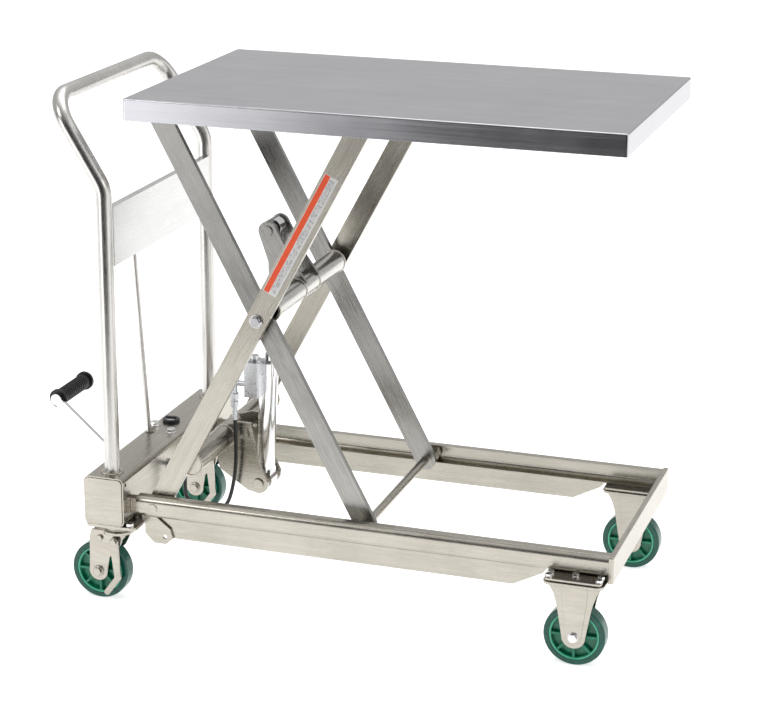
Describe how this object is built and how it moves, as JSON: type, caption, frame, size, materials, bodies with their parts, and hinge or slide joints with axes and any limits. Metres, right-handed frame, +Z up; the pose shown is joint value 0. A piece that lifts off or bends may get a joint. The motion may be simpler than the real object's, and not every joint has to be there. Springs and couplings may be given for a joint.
{
  "type": "scissor lift table",
  "caption": "Hand-pushed hydraulic scissor lift table on casters, with a flat deck, crossed arms, a foot pump and a bent-tube push handle.",
  "frame": {"origin": "on the floor, under the middle of the deck", "axes": "+X towards the fixed casters, -X towards the push handle, +Z up"},
  "size_m": [1.339, 0.61, 1.0728],
  "materials": {
    "stainless": "brushed",
    "stainless_deck": "fine brushed along the deck",
    "caster_steel": "satin",
    "green_core": "semi-gloss",
    "green_tread": "satin polyurethane",
    "black_grip": "ribbed, matte",
    "black_hose": "satin",
    "zinc_steel": "zinc plated",
    "bright_steel": "bright",
    "label": null
  },
  "bodies": {
    "base": {"side_rail_near": "stainless", "side_rail_far": "stainless", "rail_stiffeners": "stainless", "front_end_bar": "stainless", "rear_cross_box": "stainless", "box_end_caps": "stainless", "rail_brackets": "stainless", "push_handle": "stainless", "handle_panel": "stainless", "pump_body": "zinc_steel", "pump_reservoir": "zinc_steel", "filler_cap": "black_grip", "pump_hose_fitting": "zinc_steel", "hydraulic_hose": "black_hose", "fixed_caster_near": "caster_steel", "fixed_caster_far": "caster_steel", "front_axle_bolts": "caster_steel", "swivel_plates": "caster_steel", "frame_bolts": "caster_steel", "lower_pivot_pins": "stainless"},
    "release_lever": {"release_lever": "stainless"},
    "release_rod": {"release_rod": "stainless"},
    "pump_pedal": {"pump_pedal": "bright_steel", "pedal_grip": "black_grip"},
    "pump_plunger": {"pump_plunger": "bright_steel"},
    "outer_arms": {"outer_arm_near": "stainless", "outer_arm_far": "stainless", "lower_cross_tube": "stainless", "anchor_bracket": "stainless", "anchor_pin": "stainless", "centre_pivot_bolts": "stainless", "upper_roller_shaft": "stainless", "arm_label": "label"},
    "inner_arms": {"inner_arm_near": "stainless", "inner_arm_far": "stainless", "torque_tube": "stainless", "lever_plates": "stainless", "lower_roller_shaft": "stainless"},
    "platform": {"deck_pan": "stainless_deck", "deck_channels": "stainless", "deck_cross_ribs": "stainless", "deck_pivot_brackets": "stainless"},
    "lower_rollers": {"lower_rollers": "stainless"},
    "upper_rollers": {"upper_rollers": "stainless"},
    "cylinder": {"cylinder_barrel": "bright_steel", "valve_block": "zinc_steel", "hose_fittings": "zinc_steel"},
    "ram": {"piston_rod": "bright_steel"},
    "swivel_near": {"swivel_fork_near": "caster_steel"},
    "swivel_far": {"swivel_fork_far": "caster_steel"},
    "brake_near": {"brake_lever_near": "caster_steel"},
    "brake_far": {"brake_lever_far": "caster_steel"},
    "wheel_front_near": {"wheel_core_front_near": "green_core", "tread_front_near": "green_tread"},
    "wheel_front_far": {"wheel_core_front_far": "green_core", "tread_front_far": "green_tread"},
    "wheel_rear_near": {"wheel_core_rear_near": "green_core", "tread_rear_near": "green_tread"},
    "wheel_rear_far": {"wheel_core_rear_far": "green_core", "tread_rear_far": "green_tread"}
  },
  "joints": [
    {"name": "lift", "type": "hinge", "parent": "base", "child": "outer_arms", "pos_m": [-0.4745, 0, 0.2103], "axis": [0, -1, 0], "range_deg": [-53.4, 0], "deforming": ["hydraulic_hose"]},
    {"name": "centre_pivot", "type": "hinge", "parent": "outer_arms", "child": "inner_arms", "pos_m": [-0.25195, 0, 0.62711], "axis": [0, -1, 0], "range_deg": [0, 106.8]},
    {"name": "deck_pivot", "type": "hinge", "parent": "inner_arms", "child": "platform", "pos_m": [-0.4745, 0, 1.04391], "axis": [0, -1, 0], "range_deg": [-53.4, 0]},
    {"name": "lower_roller_spin", "type": "hinge", "parent": "inner_arms", "child": "lower_rollers", "pos_m": [-0.02939, 0, 0.2103], "axis": [0, 1, 0], "continuous": true},
    {"name": "upper_roller_spin", "type": "hinge", "parent": "outer_arms", "child": "upper_rollers", "pos_m": [-0.02939, 0, 1.04391], "axis": [0, 1, 0], "continuous": true},
    {"name": "cylinder_pivot", "type": "hinge", "parent": "outer_arms", "child": "cylinder", "pos_m": [-0.328, 0, 0.2035], "axis": [0, -1, 0], "range_deg": [0, 13.88]},
    {"name": "ram_slide", "type": "slide", "parent": "cylinder", "child": "ram", "axis": [0.0466, 0, 0.9989], "range_m": [-0.2087, 0]},
    {"name": "pedal_hinge", "type": "hinge", "parent": "base", "child": "pump_pedal", "pos_m": [-0.59, 0, 0.206], "axis": [0, -1, 0], "range_deg": [0, 25]},
    {"name": "plunger_slide", "type": "slide", "parent": "base", "child": "pump_plunger", "axis": [0, 0, 1], "range_m": [0, 0.015]},
    {"name": "release_lever_hinge", "type": "hinge", "parent": "base", "child": "release_lever", "pos_m": [-0.606, 0.034, 0.742], "axis": [1, 0, 0], "range_deg": [0, 12]},
    {"name": "release_rod_slide", "type": "slide", "parent": "base", "child": "release_rod", "axis": [0.059, 0, -0.9983], "range_m": [0, 0.0102]},
    {"name": "swivel_near_turn", "type": "hinge", "parent": "base", "child": "swivel_near", "pos_m": [-0.556, -0.259, 0.15], "axis": [0, 0, 1], "continuous": true},
    {"name": "brake_near_hinge", "type": "hinge", "parent": "swivel_near", "child": "brake_near", "pos_m": [-0.554, -0.259, 0.134], "axis": [0, -1, 0], "range_deg": [0, 20]},
    {"name": "wheel_rear_near_spin", "type": "hinge", "parent": "swivel_near", "child": "wheel_rear_near", "pos_m": [-0.594, -0.259, 0.0625], "axis": [0, 1, 0], "continuous": true},
    {"name": "wheel_front_near_spin", "type": "hinge", "parent": "base", "child": "wheel_front_near", "pos_m": [0.424, -0.259, 0.0625], "axis": [0, 1, 0], "continuous": true},
    {"name": "swivel_far_turn", "type": "hinge", "parent": "base", "child": "swivel_far", "pos_m": [-0.556, 0.259, 0.15], "axis": [0, 0, 1], "continuous": true},
    {"name": "brake_far_hinge", "type": "hinge", "parent": "swivel_far", "child": "brake_far", "pos_m": [-0.554, 0.259, 0.134], "axis": [0, -1, 0], "range_deg": [0, 20]},
    {"name": "wheel_rear_far_spin", "type": "hinge", "parent": "swivel_far", "child": "wheel_rear_far", "pos_m": [-0.594, 0.259, 0.0625], "axis": [0, 1, 0], "continuous": true},
    {"name": "wheel_front_far_spin", "type": "hinge", "parent": "base", "child": "wheel_front_far", "pos_m": [0.424, 0.259, 0.0625], "axis": [0, 1, 0], "continuous": true}
  ],
  "couplings": [
    {"joint": "centre_pivot", "follows": "lift", "ratio": -2},
    {"joint": "deck_pivot", "follows": "lift", "ratio": 1},
    {"joint": "cylinder_pivot", "follows": "lift", "ratio": -0.26},
    {"joint": "ram_slide", "follows": "lift", "m_per_rad": 0.22369},
    {"joint": "plunger_slide", "follows": "pedal_hinge", "m_per_rad": 0.034},
    {"joint": "release_rod_slide", "follows": "release_lever_hinge", "m_per_rad": 0.048}
  ]
}
